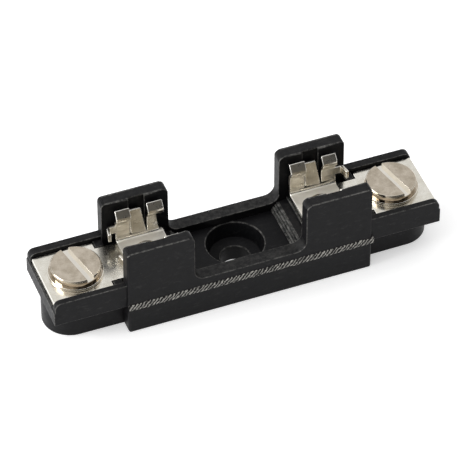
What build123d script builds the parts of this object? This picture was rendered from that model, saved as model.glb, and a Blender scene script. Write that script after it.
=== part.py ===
from build123d import *
import os

# Fuse block for one cartridge fuse: a moulded base, two spring clips and two screw terminals.
# Millimetres. X runs along the fuse, +Y is the back, +Z is up.
# The origin is the axis of the mounting hole, on the underside of the base.

# Fuse that the block is made for
fuse_diameter = 6.35
fuse_length = 31.75
fuse_end_play = 0.15

# Spring clips, pressed from strip
clip_metal = 0.4
clip_length = 6.35
clip_outer_finger = 1.95
clip_inner_finger = 2.1
clip_slot = 0.75
clip_slot_taper = 0.6
clip_slot_height = 0.85
clip_grip = 0.05
clip_bend = 0.6
clip_waist = 0.15
clip_waist_rise = 1.2
clip_waist_bend = 0.25
clip_cheek_rise = 3.1
clip_cheek_bend = 1.5
clip_pinch_rise = 4.2
clip_pinch_gap = 4.7
clip_pinch_bend = 0.45
clip_lip_rise = 5.25
clip_lip_flare = 0.85
clip_blade_rise = 4.6
clip_blade_lean = 0.35
clip_notch_top = 0.8
clip_notch_foot = 0.5
clip_notch_low = 0.45
clip_notch_high = 3.2
clip_shear = 0.05

# Fuse stops on the clips' outer fingers
stop_reach = 0.9
stop_width = 1.45
stop_rise = 2.85
stop_strap = 1.2
stop_splay = 0.3
stop_bend = 0.35

# Terminal plates
plate_metal = 0.8
plate_tab_length = 8.1
plate_neck_width = 6.2
plate_corner = 0.35
plate_side_gap = 0.1
plate_end_inset = 0.3
plate_key_gap = 0.15
collar_wall = 0.65
collar_depth = 1.2

# Terminal screws and their washers
screw_shank = 3.1
screw_length = 6.0
screw_head = 6.54
screw_head_height = 1.05
screw_head_edge = 0.12
screw_slot_width = 1.0
screw_slot_depth = 0.5
screw_slot_offset = 0.3
screw_slot_angle_left = 12.1
screw_slot_angle_right = 13.5
screw_thread_clearance = 0.05
screw_from_end = 4.75
screw_tip_chamfer = 0.4
washer_outer = 7.1
washer_metal = 0.3
washer_clearance = 0.1
washer_seat_gap = 0.02

# Rivets through clip, plate and base
rivet_shank = 2.4
rivet_bore = 1.5
rivet_head = 3.3
rivet_head_height = 0.3
rivet_head_edge = 0.15
rivet_clinch = 3.9
rivet_clinch_height = 0.5
rivet_clearance = 0.05
rivet_floor = 2.0
rivet_pocket = 5.4

# Moulded base: centre body with four upright walls
clip_wall_gap = 0.45
wall_thickness = 1.725
wall_height = 13.6
wall_length = 9.04
wall_inner_corner = 0.75
wall_outer_corner = 0.5
wall_foot_corner = 1.4
body_end_margin = 0.15
body_corner = 0.3
plate_seat_height = 6.6
platform_height = 6.13
platform_step_gap = 0.1
floor_height = 4.9
rim_thickness = 1.84
ramp_top = 7.5
ramp_run = 1.03
ramp_ribs = 4
ramp_rib_radius = 0.17
groove_width = 2.1
groove_depth = 0.3

# End trays and the feet under them
tray_length = 9.7
tray_inset = 0.42
tray_back_inset = 0.12
tray_rim = 0.88
tray_rim_height = 1.35
tray_rim_corner = 0.9
tray_rim_setback = 0.15
tray_underside = 4.3
tray_ledge = 0.2
foot_half_width = 3.7
foot_end_inset = 0.1
screw_pocket_clearance = 0.3
screw_pocket_floor = 0.9

# Mounting hole and the stepped well around it
bore_diameter = 3.84
well_clearance = 0.06
well_seat_diameter = 6.72
well_ledge_height = 2.7
well_seat_height = 2.43

# Rough web left along the front where the block was snapped from its neighbour
web_height = 0.75
web_bottom = 3.9
web_climb = 0.4
web_depth = 0.22
web_overhang = 0.3

# Places worked out from the sizes above
fuse_radius = fuse_diameter / 2
cheek_y = fuse_radius - clip_grip
arm_y = cheek_y + clip_metal / 2
inner_half = cheek_y + clip_metal + clip_wall_gap
body_half = inner_half + wall_thickness
stop_face = fuse_length / 2 + fuse_end_play / 2
clip_outer = stop_face - stop_reach
clip_inner = clip_outer - clip_length
clip_x = (clip_outer + clip_inner) / 2
inner_finger_start = clip_inner + clip_inner_finger
blade_start = clip_outer - clip_outer_finger - clip_shear
blade_width = blade_start - inner_finger_start - clip_slot + clip_slot_taper
slot_width = clip_slot - clip_slot_taper
slot_end = inner_finger_start + slot_width
slot_start = clip_outer - clip_outer_finger - slot_width
body_end = stop_face + stop_splay + clip_metal / 2 + body_end_margin
wall_inner = body_end - wall_length
tray_end = body_end + tray_length
screw_x = tray_end - screw_from_end

plate_top = plate_seat_height + plate_metal
clip_base_z = plate_top + clip_metal / 2
clip_top = plate_top + clip_metal
pinch_y = clip_pinch_gap / 2 + clip_metal / 2
blade_top_y = arm_y + clip_blade_lean
washer_base = plate_top + washer_seat_gap
head_base = washer_base + washer_metal + washer_seat_gap
head_top = head_base + screw_head_height
stop_top = plate_top + stop_rise
tray_half = body_half - tray_inset
tray_back = body_half - tray_back_inset
tray_inner = tray_half - tray_rim
tray_rim_top = plate_seat_height + tray_rim_height
rim_end = tray_end - tray_rim_setback
plate_end = tray_end - plate_end_inset
tab_inner = plate_end - plate_tab_length
key_end = tab_inner - plate_key_gap
neck_half = plate_neck_width / 2
neck_way_half = neck_half + plate_key_gap
plate_side = tray_inner - plate_side_gap
seat_inner = clip_inner - platform_step_gap
trough_half = body_half - rim_thickness
ramp_foot = ramp_top - ramp_run
foot_centre = tray_end - foot_end_inset - foot_half_width
foot_start = body_end - body_corner
tapped_hole = screw_shank + 2 * screw_thread_clearance
collar_diameter = tapped_hole + 2 * collar_wall
rivet_hole = rivet_shank + 2 * rivet_clearance
rivet_ceiling = plate_seat_height - rivet_floor
well_radius = trough_half - well_clearance
sides = (-1, 1)
both_ends = [(side * screw_x, 0) for side in sides]
both_rivets = [(side * clip_x, 0) for side in sides]

# Base, one moulding
with BuildPart() as base:
    # Centre body with its four upright walls, drawn from the front
    with BuildSketch(Plane.XZ):
        with BuildLine():
            Polyline(
                (-body_end, 0),
                (-body_end, wall_height),
                (-wall_inner, wall_height),
                (-wall_inner, platform_height),
                (wall_inner, platform_height),
                (wall_inner, wall_height),
                (body_end, wall_height),
                (body_end, 0),
                close=True,
            )
        make_face()
        fillet(vertices().group_by(Axis.Y)[0], body_corner)
        fillet(vertices().filter_by(lambda corner: abs(corner.Y - platform_height) < 0.01), wall_foot_corner)
        fillet(vertices().group_by(Axis.Y)[-1].sort_by(Axis.X)[1:3], wall_inner_corner)
        outer_tops = vertices().group_by(Axis.Y)[-1].sort_by(Axis.X)
        fillet([outer_tops[0], outer_tops[-1]], wall_outer_corner)
    extrude(amount=body_half, both=True)
    with BuildSketch(Plane.XY):
        RectangleRounded(2 * body_end, 2 * body_half, body_corner)
    extrude(amount=wall_height, mode=Mode.INTERSECT)

    # End trays, and half-round feet under them
    for side in sides:
        with BuildSketch(Plane.XZ.offset(tray_half)):
            with BuildLine():
                Polyline(
                    (side * foot_start, tray_underside),
                    (side * foot_start, tray_rim_top),
                    (side * rim_end, tray_rim_top),
                    (side * rim_end, plate_seat_height),
                    (side * tray_end, plate_seat_height - tray_ledge),
                    (side * tray_end, tray_underside),
                    close=True,
                )
            make_face()
            end_top = vertices().group_by(Axis.Y)[-1].sort_by(Axis.X)[0 if side < 0 else -1]
            fillet(end_top, tray_rim_corner)
        extrude(amount=-tray_half - tray_back)
        with BuildSketch(Plane.XY):
            with Locations((side * (foot_start + foot_centre) / 2, 0)):
                Rectangle(foot_centre - foot_start, 2 * foot_half_width)
            with Locations((side * foot_centre, 0)):
                Circle(foot_half_width)
        extrude(amount=tray_underside)

    # Way between the walls for the clips and the plates' necks, and the open trays
    for side in sides:
        with BuildSketch(Plane.XY.offset(platform_height)):
            with Locations((side * (wall_inner + seat_inner) / 2, 0)):
                Rectangle(seat_inner - wall_inner, 2 * inner_half)
        extrude(amount=wall_height, mode=Mode.SUBTRACT)
        with BuildSketch(Plane.XY.offset(plate_seat_height)):
            with Locations((side * (seat_inner + body_end) / 2, 0)):
                Rectangle(body_end - seat_inner, 2 * inner_half)
            with Locations((side * (body_end + key_end) / 2, 0)):
                Rectangle(key_end - body_end, 2 * neck_way_half)
            with Locations((side * (key_end + tray_end) / 2, 0)):
                Rectangle(tray_end - key_end, 2 * tray_inner)
        extrude(amount=wall_height, mode=Mode.SUBTRACT)
        with BuildSketch(Plane.XY.offset(plate_top)):
            with Locations((side * (body_end + key_end) / 2, 0)):
                Rectangle(key_end - body_end, 2 * tray_inner)
        extrude(amount=wall_height, mode=Mode.SUBTRACT)

    # Centre trough, with a ribbed ramp down from each platform to its floor
    with BuildSketch(Plane.XZ):
        with BuildLine():
            Polyline(
                (-wall_inner, wall_height),
                (-wall_inner, platform_height),
                (-ramp_top, platform_height),
                (-ramp_foot, floor_height),
                (ramp_foot, floor_height),
                (ramp_top, platform_height),
                (wall_inner, platform_height),
                (wall_inner, wall_height),
                close=True,
            )
        make_face()
    extrude(amount=trough_half, both=True, mode=Mode.SUBTRACT)
    rib_pitch = 1 / ramp_ribs
    rib_shares = [(rib + 0.5) * rib_pitch for rib in range(ramp_ribs)]
    rib_height = platform_height - floor_height
    with BuildSketch(Plane.XZ):
        for side in sides:
            with Locations([(side * (ramp_foot + ramp_run * s), floor_height + rib_height * s) for s in rib_shares]):
                Circle(ramp_rib_radius)
    extrude(amount=trough_half, both=True)

    # Shallow groove down the inside of each wall, opposite the clip's blade
    with BuildSketch(Plane.XY.offset(wall_height)):
        with Locations([(side * clip_x, edge * inner_half) for side in sides for edge in sides]):
            Rectangle(groove_width, 2 * groove_depth)
    extrude(amount=plate_top - wall_height, mode=Mode.SUBTRACT)

    # Rivet holes, and pockets for the clinched ends in the underside
    with BuildSketch(Plane.XY):
        with Locations(both_rivets):
            Circle(rivet_hole / 2)
    extrude(amount=plate_seat_height, mode=Mode.SUBTRACT)
    with BuildSketch(Plane.XY):
        with Locations(both_rivets):
            Circle(rivet_pocket / 2)
    extrude(amount=rivet_ceiling, mode=Mode.SUBTRACT)

    # Blind pockets for the plates' collars and the screws' ends
    with BuildSketch(Plane.XY.offset(screw_pocket_floor)):
        with Locations(both_ends):
            Circle(collar_diameter / 2 + screw_pocket_clearance)
    extrude(amount=plate_seat_height, mode=Mode.SUBTRACT)

    # Stepped well and mounting hole
    with BuildSketch(Plane.XZ):
        with BuildLine():
            Polyline(
                (0, 0),
                (bore_diameter / 2, 0),
                (bore_diameter / 2, well_seat_height),
                (well_seat_diameter / 2, well_ledge_height),
                (well_radius, floor_height),
                (0, floor_height),
                close=True,
            )
        make_face()
    revolve(axis=Axis.Z, mode=Mode.SUBTRACT)

    # Snapped web along the front
    with BuildSketch(Plane.XZ.offset(body_half - 2 * body_corner)):
        with BuildLine():
            Polyline(
                (-body_end, web_bottom),
                (body_end + web_overhang, web_bottom + web_climb),
                (body_end + web_overhang, web_bottom + web_climb + web_height),
                (-body_end, web_bottom + web_height),
                close=True,
            )
        make_face()
    extrude(amount=web_depth + 2 * body_corner)

base.part.label = "base"

# Terminal plate, a flat T, its tapped hole in a collar drawn down from the tab
with BuildPart() as terminal:
    with BuildSketch(Plane.XY.offset(plate_seat_height)):
        with Locations((-(tab_inner + plate_end) / 2, 0)):
            RectangleRounded(plate_tab_length, 2 * plate_side, plate_corner)
        neck_length = tab_inner + plate_corner - clip_inner
        with Locations((-clip_inner - neck_length / 2, 0)):
            Rectangle(neck_length, plate_neck_width)
    extrude(amount=plate_metal)
    with BuildSketch(Plane.XY.offset(plate_seat_height)):
        with Locations((-screw_x, 0)):
            Circle(collar_diameter / 2)
    extrude(amount=-collar_depth)
    with BuildSketch(Plane.XY.offset(plate_top)):
        with Locations((-screw_x, 0)):
            Circle(tapped_hole / 2)
        with Locations((-clip_x, 0)):
            Circle(rivet_hole / 2)
    extrude(amount=-plate_metal - collar_depth, mode=Mode.SUBTRACT)

# Spring clip. Each arm is two fingers with a flat blade and a slot between them,
# and the front arm has the blade and the slot the other way round.
with BuildPart() as clip:
    # Half of the strip's bend line, from the middle of the floor to the top of each kind of leaf
    foot = [(0, clip_base_z), (arm_y - clip_waist, clip_base_z)]
    leaves = {
        "root": (foot + [(arm_y - clip_waist, plate_top + clip_slot_height)], [clip_bend]),
        "blade": (
            foot
            + [(arm_y - clip_waist, plate_top + clip_waist_rise), (blade_top_y, plate_top + clip_blade_rise)],
            [clip_bend, clip_bend],
        ),
        "finger": (
            foot
            + [
                (arm_y - clip_waist, plate_top + clip_waist_rise),
                (arm_y, plate_top + clip_waist_rise + clip_bend),
                (arm_y, plate_top + clip_cheek_rise),
                (pinch_y, plate_top + clip_pinch_rise),
                (pinch_y + clip_lip_flare, plate_top + clip_lip_rise),
            ],
            [clip_bend, clip_waist_bend, clip_waist_bend, clip_cheek_bend, clip_pinch_bend],
        ),
    }
    outer_finger = ("finger", clip_outer_finger)
    inner_finger = ("finger", clip_inner_finger)
    shear = ("root", clip_shear)
    blade = ("blade", blade_width)
    slot = ("root", slot_width)
    back_arm = (outer_finger, shear, blade, slot, inner_finger)
    front_arm = (outer_finger, slot, blade, shear, inner_finger)
    for edge, arm in ((1, back_arm), (-1, front_arm)):
        start = -clip_outer
        for leaf, width in arm:
            points, bends = leaves[leaf]
            with BuildSketch(Plane.YZ.offset(start)):
                with BuildLine():
                    FilletPolyline([(edge * y, z) for y, z in points], radius=bends)
                trace(line_width=clip_metal)
            extrude(amount=width)
            start += width

    # Notch in the free edge of the back arm's inner finger
    with BuildSketch(Plane.XZ):
        with BuildLine():
            Polyline(
                (-clip_inner + clip_metal, plate_top + clip_notch_low),
                (-clip_inner - clip_notch_foot, plate_top + clip_notch_low),
                (-clip_inner - clip_notch_top, plate_top + clip_notch_high),
                (-clip_inner + clip_metal, plate_top + clip_notch_high),
                close=True,
            )
        make_face()
    extrude(amount=-body_half, mode=Mode.SUBTRACT)

    # Taper of each slot, which is narrower at its root than at its top
    for edge, slot_side, slot_edge in ((1, 1, -slot_end), (-1, -1, -slot_start)):
        with BuildSketch(Plane.XZ):
            with BuildLine():
                Polyline(
                    (slot_edge, plate_top + clip_slot_height),
                    (slot_edge - slot_side * clip_slot_taper, plate_top + clip_blade_rise + clip_metal),
                    (slot_edge, plate_top + clip_blade_rise + clip_metal),
                    close=True,
                )
            make_face()
        extrude(amount=-edge * body_half, mode=Mode.SUBTRACT)

    # Fuse stops, a strap from each outer finger turned in across the fuse's end
    with BuildSketch(Plane.XY.offset(stop_top)):
        for edge in sides:
            with BuildLine():
                FilletPolyline(
                    (-clip_outer, edge * arm_y),
                    (-stop_face, edge * arm_y),
                    (-stop_face - stop_splay, edge * (arm_y - stop_width)),
                    radius=stop_bend,
                )
            trace(line_width=clip_metal)
    extrude(amount=-stop_strap)

    with BuildSketch(Plane.XY.offset(plate_top)):
        with Locations((-clip_x, 0)):
            Circle(rivet_hole / 2)
    extrude(amount=clip_metal, mode=Mode.SUBTRACT)

# Tubular rivet, its flange on the clip and its other end clinched in the underside
with BuildPart() as rivet:
    with BuildSketch(Plane.XZ):
        with BuildLine():
            Polyline(
                (rivet_bore / 2, rivet_ceiling - rivet_clinch_height),
                (rivet_clinch / 2, rivet_ceiling - rivet_clinch_height),
                (rivet_clinch / 2, rivet_ceiling),
                (rivet_shank / 2, rivet_ceiling),
                (rivet_shank / 2, clip_top),
                (rivet_head / 2, clip_top),
                (rivet_head / 2, clip_top + rivet_head_height),
                (rivet_bore / 2, clip_top + rivet_head_height),
                close=True,
            )
        make_face()
        chamfer(vertices().group_by(Axis.Y)[-1].sort_by(Axis.X)[-1], rivet_head_edge)
    revolve(axis=Axis.Z)

# Washer that clamps the wire
with BuildPart() as washer:
    with BuildSketch(Plane.XY.offset(washer_base)):
        Circle(washer_outer / 2)
        Circle(screw_shank / 2 + washer_clearance, mode=Mode.SUBTRACT)
    extrude(amount=washer_metal)

# Terminal screw with a slotted cheese head
with BuildPart() as screw:
    with BuildSketch(Plane.XY.offset(head_base)):
        Circle(screw_head / 2)
    extrude(amount=screw_head_height)
    chamfer(edges().group_by(Axis.Z)[-1], screw_head_edge)
    with BuildSketch(Plane.XY.offset(head_base)):
        Circle(screw_shank / 2)
    extrude(amount=-screw_length)
    chamfer(edges().group_by(Axis.Z)[0], screw_tip_chamfer)
    with BuildSketch(Plane.XY.offset(head_top)):
        with Locations((screw_slot_offset, 0)):
            Rectangle(screw_slot_width, 2 * screw_head)
    extrude(amount=-screw_slot_depth, mode=Mode.SUBTRACT)

# The right end is the left one turned half round, apart from how far its screw was turned
pieces = {"base": base.part}
for name, side, turn, slot_angle in (
    ("left", -1, 0, screw_slot_angle_left),
    ("right", 1, 180, screw_slot_angle_right),
):
    screw_place = Location((side * screw_x, 0, 0))
    pieces["terminal_" + name] = terminal.part.rotate(Axis.Z, turn)
    pieces["clip_" + name] = clip.part.rotate(Axis.Z, turn)
    pieces["rivet_" + name] = rivet.part.moved(Location((side * clip_x, 0, 0)))
    pieces["washer_" + name] = washer.part.moved(screw_place)
    pieces["terminal_screw_" + name] = screw.part.rotate(Axis.Z, slot_angle).moved(screw_place)

os.makedirs("parts", exist_ok=True)
for name, piece in pieces.items():
    piece.label = name
    export_step(piece, "parts/" + name + ".step")
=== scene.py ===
import math

import bmesh
import bpy
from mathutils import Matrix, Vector, noise


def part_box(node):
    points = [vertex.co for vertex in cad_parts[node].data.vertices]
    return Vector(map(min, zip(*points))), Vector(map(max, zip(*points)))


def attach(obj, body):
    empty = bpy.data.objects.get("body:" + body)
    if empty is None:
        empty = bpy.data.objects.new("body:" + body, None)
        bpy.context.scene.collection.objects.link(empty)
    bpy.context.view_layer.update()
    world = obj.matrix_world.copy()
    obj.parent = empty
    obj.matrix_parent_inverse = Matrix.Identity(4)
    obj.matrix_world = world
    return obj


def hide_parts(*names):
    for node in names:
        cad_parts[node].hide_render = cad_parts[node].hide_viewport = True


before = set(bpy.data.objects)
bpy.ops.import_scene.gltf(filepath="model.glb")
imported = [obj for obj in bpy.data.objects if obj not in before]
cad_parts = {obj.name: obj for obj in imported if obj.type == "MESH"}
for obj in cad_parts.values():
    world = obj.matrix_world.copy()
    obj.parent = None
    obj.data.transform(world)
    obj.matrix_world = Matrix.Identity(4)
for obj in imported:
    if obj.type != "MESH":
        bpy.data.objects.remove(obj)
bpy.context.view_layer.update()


# Base: one thick moulding of black phenolic that carries everything else.
# Compression moulded in a polished tool, so its faces are smooth and faintly
# mottled, its edges are slightly rounded, and they are painted lighter, partly as
# handling abrasion and partly as a painted highlight.
def linear(hex_code):
    """Turns an sRGB hex colour to linear, with full opacity."""
    channels = [int(hex_code[place:place + 2], 16) / 255 for place in (1, 3, 5)]
    return tuple(
        level / 12.92 if level <= 0.04045 else ((level + 0.055) / 1.055) ** 2.4
        for level in channels
    ) + (1.0,)


def add_node(tree, kind, settings=None, links=None):
    """Adds a node, sets its properties or inputs by name, and links its inputs."""
    node = tree.nodes.new(kind)
    for name, value in (settings or {}).items():
        if isinstance(name, int) or name in node.inputs:
            node.inputs[name].default_value = value
        else:
            setattr(node, name, value)
    for name, source in (links or {}).items():
        tree.links.new(source, node.inputs[name])
    return node


# Shapes are made, and patterns sized, in millimetres
MM = 0.001


def start_material(name):
    """Starts a material whose patterns lie on the piece's own place in millimetres."""
    material = bpy.data.materials.new(name)
    material.use_nodes = True
    tree = material.node_tree
    tree.nodes.clear()
    place = add_node(tree, "ShaderNodeTexCoord")
    millimetres = add_node(
        tree, "ShaderNodeMapping", {"Scale": (1 / MM,) * 3}, {"Vector": place.outputs["Object"]}
    )
    return material, tree, millimetres.outputs["Vector"]


def finish_material(tree, surface, height, bump_strength, bump_distance):
    """Gives the surface its fine bumps, joins it to the output and returns the bump node."""
    bump = add_node(
        tree, "ShaderNodeBump", {"Strength": bump_strength, "Distance": bump_distance},
        {"Height": height},
    )
    tree.links.new(bump.outputs["Normal"], surface.inputs["Normal"])
    output = add_node(tree, "ShaderNodeOutputMaterial")
    tree.links.new(surface.outputs["BSDF"], output.inputs["Surface"])
    return bump


# Moulded black phenolic, polished by its tool. The eye gets a deep black with a soft
# grey sheen, faint flow mottling a few millimetres wide, long faint scuffs, fine pits
# and paler edges, partly from abrasion and partly a painted highlight.
phenolic, tree, mm = start_material("moulded_black_phenolic")
flow = add_node(
    tree, "ShaderNodeTexNoise", {"Scale": 0.35, "Detail": 5.0, "Roughness": 0.6}, {"Vector": mm}
)
grain = add_node(
    tree, "ShaderNodeTexNoise", {"Scale": 5.0, "Detail": 4.0, "Roughness": 0.7}, {"Vector": mm}
)
rub = add_node(
    tree, "ShaderNodeTexNoise", {"Scale": 1.6, "Detail": 6.0, "Roughness": 0.75}, {"Vector": mm}
)
black = add_node(
    tree, "ShaderNodeMix",
    {"data_type": "RGBA", 6: linear("#0b0b0d"), 7: linear("#151517")},
    {0: flow.outputs["Fac"]},
)
scuffed = add_node(
    tree, "ShaderNodeMapping", {"Rotation": (0.3, 0.2, 0.5), "Scale": (0.5, 2.2, 1.2)},
    {"Vector": mm},
)
scuff = add_node(
    tree, "ShaderNodeTexNoise", {"Scale": 1.3, "Detail": 7.0, "Roughness": 0.8},
    {"Vector": scuffed.outputs["Vector"]},
)
scuff_share = add_node(
    tree, "ShaderNodeMapRange", {"From Min": 0.55, "From Max": 0.75, "To Max": 0.65},
    {"Value": scuff.outputs["Fac"]},
)
scuffed_black = add_node(
    tree, "ShaderNodeMix", {"data_type": "RGBA", 7: linear("#3b3a39")},
    {0: scuff_share.outputs["Result"], 6: black.outputs[2]},
)
# Paler marked faces: partly handling abrasion, partly a painted highlight on rounded edges,
# ribs and the well's rings
edge = add_node(tree, "ShaderNodeAttribute", {"attribute_name": "edge_wear_and_highlight"})
rub_share = add_node(
    tree, "ShaderNodeMapRange",
    {"From Min": 0.4, "From Max": 0.66, "To Min": 0.05, "To Max": 1.0},
    {"Value": rub.outputs["Fac"]},
)
worn_and_highlit = add_node(
    tree, "ShaderNodeMath", {"operation": "MULTIPLY"},
    {0: edge.outputs["Fac"], 1: rub_share.outputs["Result"]},
)
colour = add_node(
    tree, "ShaderNodeMix", {"data_type": "RGBA", 7: linear("#6b6a67")},
    {0: worn_and_highlit.outputs["Value"], 6: scuffed_black.outputs[2]},
)
sheen = add_node(
    tree, "ShaderNodeMapRange",
    {"From Min": 0.3, "From Max": 0.7, "To Min": 0.36, "To Max": 0.56},
    {"Value": rub.outputs["Fac"]},
)
surface = add_node(
    tree, "ShaderNodeBsdfPrincipled", {"IOR": 1.5, "Specular IOR Level": 0.14},
    {"Base Color": colour.outputs[2], "Roughness": sheen.outputs["Result"]},
)
finish_material(
    tree, surface, grain.outputs["Fac"], bump_strength=0.35, bump_distance=0.00002
)


def merged_copy(node_name):
    """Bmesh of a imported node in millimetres, its loose triangles joined into whole faces."""
    shape = bmesh.new()
    shape.from_mesh(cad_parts[node_name].data)
    bmesh.ops.scale(shape, vec=(1 / MM,) * 3, verts=shape.verts)
    bmesh.ops.remove_doubles(shape, verts=shape.verts, dist=0.0005)
    flat = math.radians(0.5)
    bmesh.ops.dissolve_limit(shape, angle_limit=flat, verts=shape.verts, edges=shape.edges)
    return shape


def round_edges(shape, radius, segments, sharpest, keep=None):
    """Rounds the outward edges inside the shape's old limits, and marks them for the paler
    colour of abraded edges and painted highlights.
    """
    layers = shape.faces.layers.float
    wear_and_highlight = layers.get("edge_wear_and_highlight") or layers.new("edge_wear_and_highlight")
    places = [corner.co.copy() for corner in shape.verts]
    lowest = [min(place[axis] for place in places) for axis in range(3)]
    highest = [max(place[axis] for place in places) for axis in range(3)]
    edges = [
        line for line in shape.edges
        if line.is_manifold and line.is_convex and line.calc_face_angle() > sharpest
        and (keep is None or keep(line))
    ]
    rounded = bmesh.ops.bevel(
        shape, geom=edges, offset=radius, offset_type="OFFSET", affect="EDGES",
        segments=segments, profile=0.5, material=-1, clamp_overlap=False,
    )
    # The rounding's faces are painted paler, partly as abrasion and partly as a painted
    # highlight
    for face in rounded["faces"]:
        face[wear_and_highlight] = 1.0
    for corner in rounded["verts"]:
        corner.co = [
            min(max(corner.co[axis], lowest[axis]), highest[axis]) for axis in range(3)
        ]
    shape.normal_update()


def finish_piece(shape, name, material, body, stands_for=None):
    """Makes the shape a finished piece that rides on a body and may replace a CAD node."""
    smoothest_angle = math.radians(42)
    bmesh.ops.scale(shape, vec=(MM,) * 3, verts=shape.verts)
    for face in shape.faces:
        face.smooth = True
    for line in shape.edges:
        line.smooth = not line.is_manifold or line.calc_face_angle() < smoothest_angle
    mesh = bpy.data.meshes.new(name)
    shape.to_mesh(mesh)
    shape.free()
    mesh.materials.append(material)
    piece = bpy.data.objects.new(name, mesh)
    bpy.context.scene.collection.objects.link(piece)
    even = piece.modifiers.new("even_shading", "WEIGHTED_NORMAL")
    even.keep_sharp = True
    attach(piece, body)
    if stands_for:
        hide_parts(stands_for)


# The web's plain strip stands proud of the front face, and is set back a little here,
# behind the torn web of the next section
web_low, web_high, web_depth = 3.75, 5.35, 0.22
web_set_back, near_front = 0.15, 0.1
shape = merged_copy("base")
front = min(corner.co.y for corner in shape.verts)
front_face = front + web_depth
top = max(corner.co.z for corner in shape.verts)
for corner in shape.verts:
    if corner.co.y < front + near_front:
        corner.co.y = front + web_set_back

well_reach = 3.9
longest_end_edge = 0.3


def in_well(line):
    return all(end.co.xy.length < well_reach for end in line.verts)


def on_web(line):
    return all(
        end.co.y < front_face + 0.12 and web_low < end.co.z < web_high for end in line.verts
    )


def on_wall_top(line):
    """True for an edge along the top of a wall, not across its end."""
    ends = [end.co for end in line.verts]
    along = abs(ends[0].x - ends[1].x)
    return min(end.z for end in ends) > top - 0.05 and along > longest_end_edge


def elsewhere(line):
    return not in_well(line) and not on_web(line) and not on_wall_top(line)


round_edges(shape, 0.24, 4, math.radians(60), on_wall_top)
round_edges(shape, 0.1, 2, math.radians(35), elsewhere)
# The well's ring edges are painted paler in full, a painted highlight on their rounding
round_edges(shape, 0.13, 3, math.radians(35), in_well)

# The ramps' ribs are painted paler all over, a painted highlight; the trough's rims,
# and a little other high faces, are paler in step with how far they face up.
ramp_foot_x, ramp_foot_z, ramp_run, ramp_rise = 6.47, 4.9, 1.03, 1.23
rib_radius, rib_tolerance = 0.17, 0.015
rib_places = [
    (ramp_foot_x + ramp_run * share, ramp_foot_z + ramp_rise * share)
    for share in (0.125, 0.375, 0.625, 0.875)
]
trough_rim = 6.0
rim_end, rim_side, rim_top = 9.5, 4.0, top / 2 + 1
rim_paling, top_paling = 0.24, 0.08
wear_and_highlight = shape.faces.layers.float["edge_wear_and_highlight"]
# Ribs get the full paler colour as a painted highlight; up-facing high faces get a share scaled
# by how far they face up
for face in shape.faces:
    centre = face.calc_center_median()
    for rib_x, rib_z in rib_places:
        from_rib = math.hypot(abs(centre.x) - rib_x, centre.z - rib_z)
        if abs(from_rib - rib_radius) < rib_tolerance:
            face[wear_and_highlight] = 1.0
    if face.normal.z > 0.1 and not face[wear_and_highlight] and centre.z > trough_rim:
        on_rim = abs(centre.x) < rim_end and abs(centre.y) > rim_side and centre.z < rim_top
        face[wear_and_highlight] = face.normal.z * (rim_paling if on_rim else top_paling)
finish_piece(shape, "moulded_base", phenolic, "block", "base")


# Snapped web: the rough line along the front where the moulding was broken off its
# neighbour. It is torn phenolic, so it is uneven and flecked with pale filler.

# Torn phenolic and its filler: dull dark grey, with slanting pale strokes about a
# millimetre apart that come and go in patches.
torn, tree, mm = start_material("torn_phenolic_filler")
warp = add_node(
    tree, "ShaderNodeTexNoise", {"Scale": 1.2, "Detail": 6.0, "Roughness": 0.8}, {"Vector": mm}
)
slant = add_node(
    tree, "ShaderNodeMapping", {"Rotation": (0, math.radians(-40), 0)}, {"Vector": mm}
)
strokes = add_node(
    tree, "ShaderNodeTexWave",
    {
        "Scale": 0.75, "Distortion": 5.0, "Detail": 3.0, "Detail Scale": 2.5,
        "Detail Roughness": 0.7,
    },
    {"Vector": slant.outputs["Vector"]},
)
stroke_share = add_node(
    tree, "ShaderNodeMapRange", {"From Min": 0.4, "From Max": 0.95},
    {"Value": strokes.outputs["Fac"]},
)
patchy = add_node(
    tree, "ShaderNodeMapRange",
    {"From Min": 0.38, "From Max": 0.6, "To Min": 0.3, "To Max": 1.0},
    {"Value": warp.outputs["Fac"]},
)
pale_share = add_node(
    tree, "ShaderNodeMath", {"operation": "MULTIPLY"},
    {0: stroke_share.outputs["Result"], 1: patchy.outputs["Result"]},
)
colour = add_node(
    tree, "ShaderNodeMix",
    {"data_type": "RGBA", 6: linear("#1f1e1e"), 7: linear("#dbd8d0")},
    {0: pale_share.outputs["Value"]},
)
surface = add_node(
    tree, "ShaderNodeBsdfPrincipled", {"Roughness": 0.8, "Specular IOR Level": 0.3},
    {"Base Color": colour.outputs[2]},
)
finish_material(
    tree, surface, strokes.outputs["Fac"], bump_strength=0.7, bump_distance=0.0001
)

# The torn face stands out from a plane just inside the front, less towards its edges,
# and a skirt round it runs back into the moulding
web_start, web_end = -16.5, 16.88
web_foot, web_climb, web_height = 3.78, 0.4, 1.0
web_columns, web_rows = 150, 5
web_back, skirt_back = 0.21, 0.3
mean_depth, depth_spread = 0.11, 0.1
least_depth, most_depth = 0.02, 0.2
edge_sway = 0.16
shape = bmesh.new()
bmesh.ops.create_grid(shape, x_segments=web_columns, y_segments=web_rows, size=0.5)
span = web_end - web_start
for corner in shape.verts:
    along, up = corner.co.x + 0.5, corner.co.y + 0.5
    x = web_start + along * span
    z = web_foot + along * web_climb + up * web_height
    sway = noise.noise(Vector((x * 0.9, up * 2.0, 3.0))) * edge_sway * (2 * up - 1)
    depth = mean_depth + depth_spread * noise.noise(Vector((x * 2.2, z * 3.0, 0.0)))
    depth *= min(1.0, 4 * up * (1 - up) + 0.35)
    depth = min(most_depth, max(least_depth, depth))
    corner.co = Vector((x, front + web_back - depth, z + sway))
bmesh.ops.recalc_face_normals(shape, faces=shape.faces)
rim = [line for line in shape.edges if line.is_boundary]
skirt = bmesh.ops.extrude_edge_only(shape, edges=rim)
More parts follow.
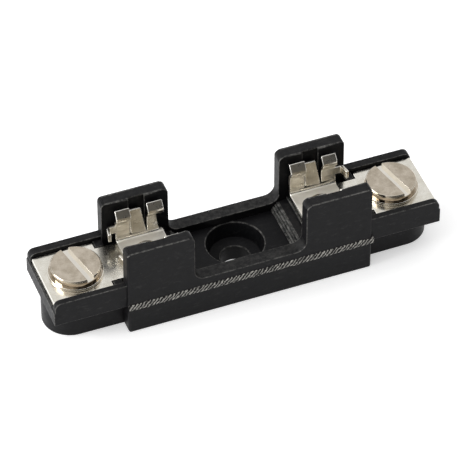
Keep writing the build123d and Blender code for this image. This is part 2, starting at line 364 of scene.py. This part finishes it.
for corner in skirt["geom"]:
    if isinstance(corner, bmesh.types.BMVert):
        corner.co.y = front + skirt_back
bmesh.ops.recalc_face_normals(shape, faces=shape.faces)
finish_piece(shape, "snapped_web", torn, "block")


# Terminal plates: a flat T stamped from thick brass and nickel plated. Each lies in
# its tray with its neck under the clip, and is held there by the rivet.
def plated_metal(
    name, pale, dull, smoothest, roughest, line_scale, bump_strength, wave_strength
):
    """Plated sheet or wire: rolling lines, dull patches, paler edges, paler and rougher seats.

    The faces' edge_wear_and_highlight makes them paler and smoother, as abrasion and a painted
    highlight on edges and a painted highlight on seats; worn_dull makes them rough.
    """
    metal, tree, mm = start_material(name)
    lines = add_node(tree, "ShaderNodeMapping", {"Scale": line_scale}, {"Vector": mm})
    rolled = add_node(
        tree, "ShaderNodeTexNoise", {"Scale": 1.0, "Detail": 4.0, "Roughness": 0.65},
        {"Vector": lines.outputs["Vector"]},
    )
    patch = add_node(
        tree, "ShaderNodeTexNoise", {"Scale": 0.7, "Detail": 5.0, "Roughness": 0.7},
        {"Vector": mm},
    )
    edge = add_node(tree, "ShaderNodeAttribute", {"attribute_name": "edge_wear_and_highlight"})
    patch_share = add_node(
        tree, "ShaderNodeMapRange", {"From Min": 0.35, "From Max": 0.7},
        {"Value": patch.outputs["Fac"]},
    )
    colour = add_node(
        tree, "ShaderNodeMix", {"data_type": "RGBA", 6: linear(pale), 7: linear(dull)},
        {0: patch_share.outputs["Result"]},
    )
    # Near-white for marked faces: abrasion and a painted highlight on edges, a painted
    # highlight on clip seats and screw slots
    rubbed_and_highlit = add_node(
        tree, "ShaderNodeMix", {"data_type": "RGBA", 7: linear("#fffcf4")},
        {0: edge.outputs["Fac"], 6: colour.outputs[2]},
    )
    both = add_node(
        tree, "ShaderNodeMath", {"operation": "MULTIPLY"},
        {0: patch_share.outputs["Result"], 1: rolled.outputs["Fac"]},
    )
    gloss = add_node(
        tree, "ShaderNodeMapRange",
        {"From Min": 0.0, "From Max": 0.7, "To Min": smoothest, "To Max": roughest},
        {"Value": both.outputs["Value"]},
    )
    polished = add_node(
        tree, "ShaderNodeMath", {"operation": "MULTIPLY_ADD", 1: -0.12},
        {0: edge.outputs["Fac"], 2: gloss.outputs["Result"]},
    )
    worn_dull = add_node(tree, "ShaderNodeAttribute", {"attribute_name": "worn_dull"})
    roughness = add_node(
        tree, "ShaderNodeMath", {"operation": "MULTIPLY_ADD", 1: 0.36},
        {0: worn_dull.outputs["Fac"], 2: polished.outputs["Value"]},
    )
    surface = add_node(
        tree, "ShaderNodeBsdfPrincipled", {"Metallic": 1.0},
        {"Base Color": rubbed_and_highlit.outputs[2], "Roughness": roughness.outputs["Value"]},
    )
    wave = add_node(tree, "ShaderNodeTexNoise", {"Scale": 0.45, "Detail": 1.0}, {"Vector": mm})
    waved = add_node(
        tree, "ShaderNodeBump", {"Strength": wave_strength, "Distance": 0.0002},
        {"Height": wave.outputs["Fac"]},
    )
    fine = finish_material(
        tree, surface, rolled.outputs["Fac"], bump_strength, bump_distance=0.00002
    )
    tree.links.new(waved.outputs["Normal"], fine.inputs["Normal"])
    return metal


# Nickel plate over stamped brass, softened by tumbling: a pale, faintly warm mirror
# with lines along the strip from the rolling mill.
plate_finish = plated_metal(
    "nickel_plated_brass", pale="#eeebe2", dull="#d8d3c6", smoothest=0.16, roughest=0.32,
    line_scale=(0.5, 5.0, 5.0), bump_strength=0.06, wave_strength=0.1,
)
for side in ("left", "right"):
    node_name = "terminal_" + side
    shape = merged_copy(node_name)
    round_edges(shape, 0.08, 2, math.radians(35))
    finish_piece(
        shape, "terminal_plate_" + side, plate_finish, "block", node_name
    )


# Spring clips: phosphor bronze strip, slit, bent up into fingers and plated with
# tin. Their cut edges are painted bright, partly as abrasion and partly as a painted
# highlight, and their floor and the bends beside it are painted paler as a painted
# highlight, with the flat seat made rougher.

# Tin plate over phosphor bronze strip: a duller, warmer and wavier grey than nickel,
# with lines up the fingers.
clip_finish = plated_metal(
    "tin_plated_phosphor_bronze", pale="#dcd6c9", dull="#bfb6a5", smoothest=0.24,
    roughest=0.46, line_scale=(2.0, 2.0, 0.5), bump_strength=0.1, wave_strength=0.3,
)
seat_height, seat_highlight = 0.9, 0.8
least_upward, flat_upward = 0.15, 0.8
for side in ("left", "right"):
    node_name = "clip_" + side
    shape = merged_copy(node_name)
    round_edges(shape, 0.09, 3, math.radians(35))
    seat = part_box(node_name)[0].z / MM + seat_height
    worn_dull = shape.faces.layers.float.new("worn_dull")
    wear_and_highlight = shape.faces.layers.float["edge_wear_and_highlight"]
    # Painted highlight: up-facing faces below the seat height take the paler colour, and the
    # flat ones are also made rougher
    for face in shape.faces:
        if face.normal.z > least_upward and face.calc_center_median().z < seat:
            face[wear_and_highlight] = seat_highlight
            face[worn_dull] = 1.0 if face.normal.z > flat_upward else 0.0
    finish_piece(
        shape, "spring_clip_" + side, clip_finish, "block", node_name
    )


# Rivets: tubes of soft nickel plated brass, pushed down through clip, plate and base
# and clinched underneath, so the flange that shows is rolled over and smooth.

# Nickel plate over soft brass tube: a little greyer and more even than the plates.
rivet_finish = plated_metal(
    "nickel_plated_rivet_brass", pale="#dfdbd0", dull="#c2bcae", smoothest=0.2,
    roughest=0.34, line_scale=(4.0, 4.0, 4.0), bump_strength=0.1, wave_strength=0.1,
)
for side in ("left", "right"):
    node_name = "rivet_" + side
    shape = merged_copy(node_name)
    round_edges(shape, 0.07, 2, math.radians(30))
    finish_piece(
        shape, "tubular_rivet_" + side, rivet_finish, "block", node_name
    )


# Washers: thin rings of nickel plated steel punched from sheet. Each hangs under its
# screw's head and is pulled down onto the wire.

# Nickel plate over steel: the darkest and glossiest of the metals, warm grey and
# slightly cloudy.
steel_finish = plated_metal(
    "nickel_plated_steel", pale="#d0c5b5", dull="#a89d8b", smoothest=0.05, roughest=0.2,
    line_scale=(2.0, 2.0, 2.0), bump_strength=0.04, wave_strength=0.2,
)
for side in ("left", "right"):
    node_name = "washer_" + side
    shape = merged_copy(node_name)
    round_edges(shape, 0.05, 2, math.radians(35))
    finish_piece(
        shape, "clamp_washer_" + side, steel_finish, node_name, node_name
    )


# Terminal screws: cold headed steel with a sawn slot and a rolled thread, plated
# like the washers. They are driven through the washer into the plate's tapped collar.
thread_pitch, thread_depth, thread_steps = 0.794, 0.26, 30
thread_start, thread_end_gap = 0.45, 1.3
shank_radius = 1.55
head_radius, head_height, head_taper = 3.27, 1.05, 0.22
edge_radius, edge_shine, slot_shine = 0.025, 0.25, 0.6
for side in ("left", "right"):
    node_name = "terminal_screw_" + side
    low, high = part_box(node_name)
    middle = (low + high) / 2 / MM
    tip, head_top = low.z / MM, high.z / MM
    shape = merged_copy(node_name)
    head_foot = head_top - head_height

    # The shank shrinks to the thread's root, and the head narrows towards its foot
    for corner in shape.verts:
        out = Vector((corner.co.x - middle.x, corner.co.y - middle.y, 0))
        if out.length < shank_radius + 0.02 and corner.co.z < head_foot - 0.1:
            out *= (shank_radius - thread_depth) / shank_radius
        elif out.length > head_radius - 0.1 and corner.co.z < head_foot + 0.1:
            out *= (head_radius - head_taper) / head_radius
        corner.co.x, corner.co.y = middle.x + out.x, middle.y + out.y

    def on_head(line):
        return all(end.co.z > head_foot - 0.05 for end in line.verts)

    round_edges(shape, edge_radius, 2, math.radians(28), on_head)
    # Painted highlight: the head's rounded edges take a quarter of the paler colour, and the
    # slot's faces more
    wear_and_highlight = shape.faces.layers.float["edge_wear_and_highlight"]
    for face in shape.faces:
        face[wear_and_highlight] *= edge_shine
        centre = face.calc_center_median()
        from_axis = (centre.xy - middle.xy).length
        in_slot = head_foot + 0.2 < centre.z < head_top - 0.03
        if in_slot and from_axis < head_radius - 0.2:
            face[wear_and_highlight] = slot_shine

    # Thread: one crest, spun up the shank from just above its tip
    turns = (head_foot - tip - thread_end_gap) / thread_pitch
    steps = int(turns * thread_steps)
    root, crest_radius = shank_radius - thread_depth - 0.04, shank_radius - 0.01
    start = tip + thread_start
    profile = [
        shape.verts.new((middle.x + radius, middle.y, start + thread_pitch * climb))
        for radius, climb in (
            (root, 0.0), (crest_radius, 0.42), (crest_radius, 0.52), (root, 0.94),
        )
    ]
    crest = [shape.edges.new(pair) for pair in zip(profile, profile[1:])]
    bmesh.ops.spin(
        shape, geom=crest + profile, cent=(middle.x, middle.y, 0), axis=(0, 0, 1),
        dvec=(0, 0, thread_pitch / thread_steps),
        angle=math.radians(360) * steps / thread_steps, steps=steps, use_merge=False,
    )
    finish_piece(
        shape, "slotted_screw_" + side, steel_finish, node_name, node_name
    )


# Studio: a plain white floor just under the block, one soft lamp to the left and one
# overhead, in a pale room with a dark side in front, which the metal reflects.
floor_size, floor_gap = 6.0, 0.00002
shape = bmesh.new()
bmesh.ops.create_grid(shape, x_segments=1, y_segments=1, size=floor_size / 2)
for corner in shape.verts:
    corner.co.z = -floor_gap
floor_mesh = bpy.data.meshes.new("studio_floor")
shape.to_mesh(floor_mesh)
shape.free()
floor = bpy.data.objects.new("studio_floor", floor_mesh)
bpy.context.scene.collection.objects.link(floor)

# Matt white paper, which glows only towards the camera and in reflections, so that it
# is white behind the block and still takes its shadow.
paper = bpy.data.materials.new("white_studio_paper")
paper.use_nodes = True
tree = paper.node_tree
tree.nodes.clear()
ray = add_node(tree, "ShaderNodeLightPath")
seen = add_node(
    tree, "ShaderNodeMath", {"operation": "ADD"},
    {0: ray.outputs["Is Camera Ray"], 1: ray.outputs["Is Glossy Ray"]},
)
seen_or_through = add_node(
    tree, "ShaderNodeMath", {"operation": "ADD", "use_clamp": True},
    {0: seen.outputs["Value"], 1: ray.outputs["Is Transmission Ray"]},
)
glow_level = add_node(
    tree, "ShaderNodeMath", {"operation": "MULTIPLY", 1: 0.45},
    {0: seen_or_through.outputs["Value"]},
)
matt = add_node(tree, "ShaderNodeBsdfDiffuse", {"Color": linear("#f2f2f2")})
glow = add_node(
    tree, "ShaderNodeEmission", {"Color": (1, 1, 1, 1)},
    {"Strength": glow_level.outputs["Value"]},
)
summed = add_node(
    tree, "ShaderNodeAddShader", None, {0: matt.outputs["BSDF"], 1: glow.outputs["Emission"]}
)
output = add_node(
    tree, "ShaderNodeOutputMaterial", None, {"Surface": summed.outputs["Shader"]}
)
floor_mesh.materials.append(paper)

world = bpy.data.worlds.new("white_studio")
world.use_nodes = True
tree = world.node_tree
tree.nodes.clear()
ray = add_node(tree, "ShaderNodeLightPath")
seen = add_node(
    tree, "ShaderNodeMath", {"operation": "ADD", "use_clamp": True},
    {0: ray.outputs["Is Camera Ray"], 1: ray.outputs["Is Transmission Ray"]},
)
outward = add_node(tree, "ShaderNodeTexCoord")
upward = add_node(
    tree, "ShaderNodeSeparateXYZ", None, {"Vector": outward.outputs["Generated"]}
)
room_level = add_node(
    tree, "ShaderNodeMapRange",
    {"From Min": 0.0, "From Max": 0.7, "To Min": 0.6, "To Max": 0.83},
    {"Value": upward.outputs["Z"]},
)
# The dark side of the room lies in front, a little to the right and above the floor
dark_side = (0.26, -0.86, 0.44)
aside = add_node(
    tree, "ShaderNodeVectorMath", {"operation": "DOT_PRODUCT", 1: dark_side},
    {0: outward.outputs["Generated"]},
)
dark_share = add_node(
    tree, "ShaderNodeMapRange",
    {"From Min": 0.64, "From Max": 0.9, "To Min": 1.0, "To Max": 0.1},
    {"Value": aside.outputs["Value"]},
)
lit_level = add_node(
    tree, "ShaderNodeMath", {"operation": "MULTIPLY"},
    {0: room_level.outputs["Result"], 1: dark_share.outputs["Result"]},
)
shown_level = add_node(
    tree, "ShaderNodeMath", {"operation": "MAXIMUM"},
    {0: lit_level.outputs["Value"], 1: seen.outputs["Value"]},
)
room = add_node(
    tree, "ShaderNodeBackground", {"Color": (1, 1, 1, 1)},
    {"Strength": shown_level.outputs["Value"]},
)
output = add_node(tree, "ShaderNodeOutputWorld", None, {"Surface": room.outputs["Background"]})
bpy.context.scene.world = world

block_middle = Vector((0, 0, 0.005))
for name, place, size, watts in (
    ("left_softbox", (-1.0, 0.12, 0.42), 0.7, 10.5),
    ("top_softbox", (-0.2, 0.15, 1.1), 1.8, 2.3),
):
    lamp_data = bpy.data.lights.new(name, "AREA")
    lamp_data.shape = "SQUARE"
    lamp_data.size = size
    lamp_data.energy = watts
    lamp = bpy.data.objects.new(name, lamp_data)
    lamp.location = place
    lamp.rotation_euler = (block_middle - Vector(place)).to_track_quat("-Z", "Y").to_euler()
    bpy.context.scene.collection.objects.link(lamp)


# Camera: a long lens half a metre away, above the front left, as in the photograph.
# Its angles and focal length come from the fit to the block's straight edges.
picture_width, focal_pixels, rise_pixels = 470, 3905, 7.2
sensor_width = 36
azimuth, elevation, distance = math.radians(-21.15), math.radians(44.5), 0.5
camera_data = bpy.data.cameras.new("long_lens")
camera_data.sensor_width = sensor_width
camera_data.lens = focal_pixels / picture_width * sensor_width
camera_data.shift_y = rise_pixels / picture_width
camera = bpy.data.objects.new("long_lens", camera_data)
bpy.context.scene.collection.objects.link(camera)
flat_reach = math.cos(elevation) * distance
camera.location = block_middle + Vector((
    math.sin(azimuth) * flat_reach, -math.cos(azimuth) * flat_reach,
    math.sin(elevation) * distance,
))
camera.rotation_euler = (block_middle - camera.location).to_track_quat("-Z", "Y").to_euler()
bpy.context.scene.camera = camera
bpy.context.scene.view_settings.view_transform = "Standard"
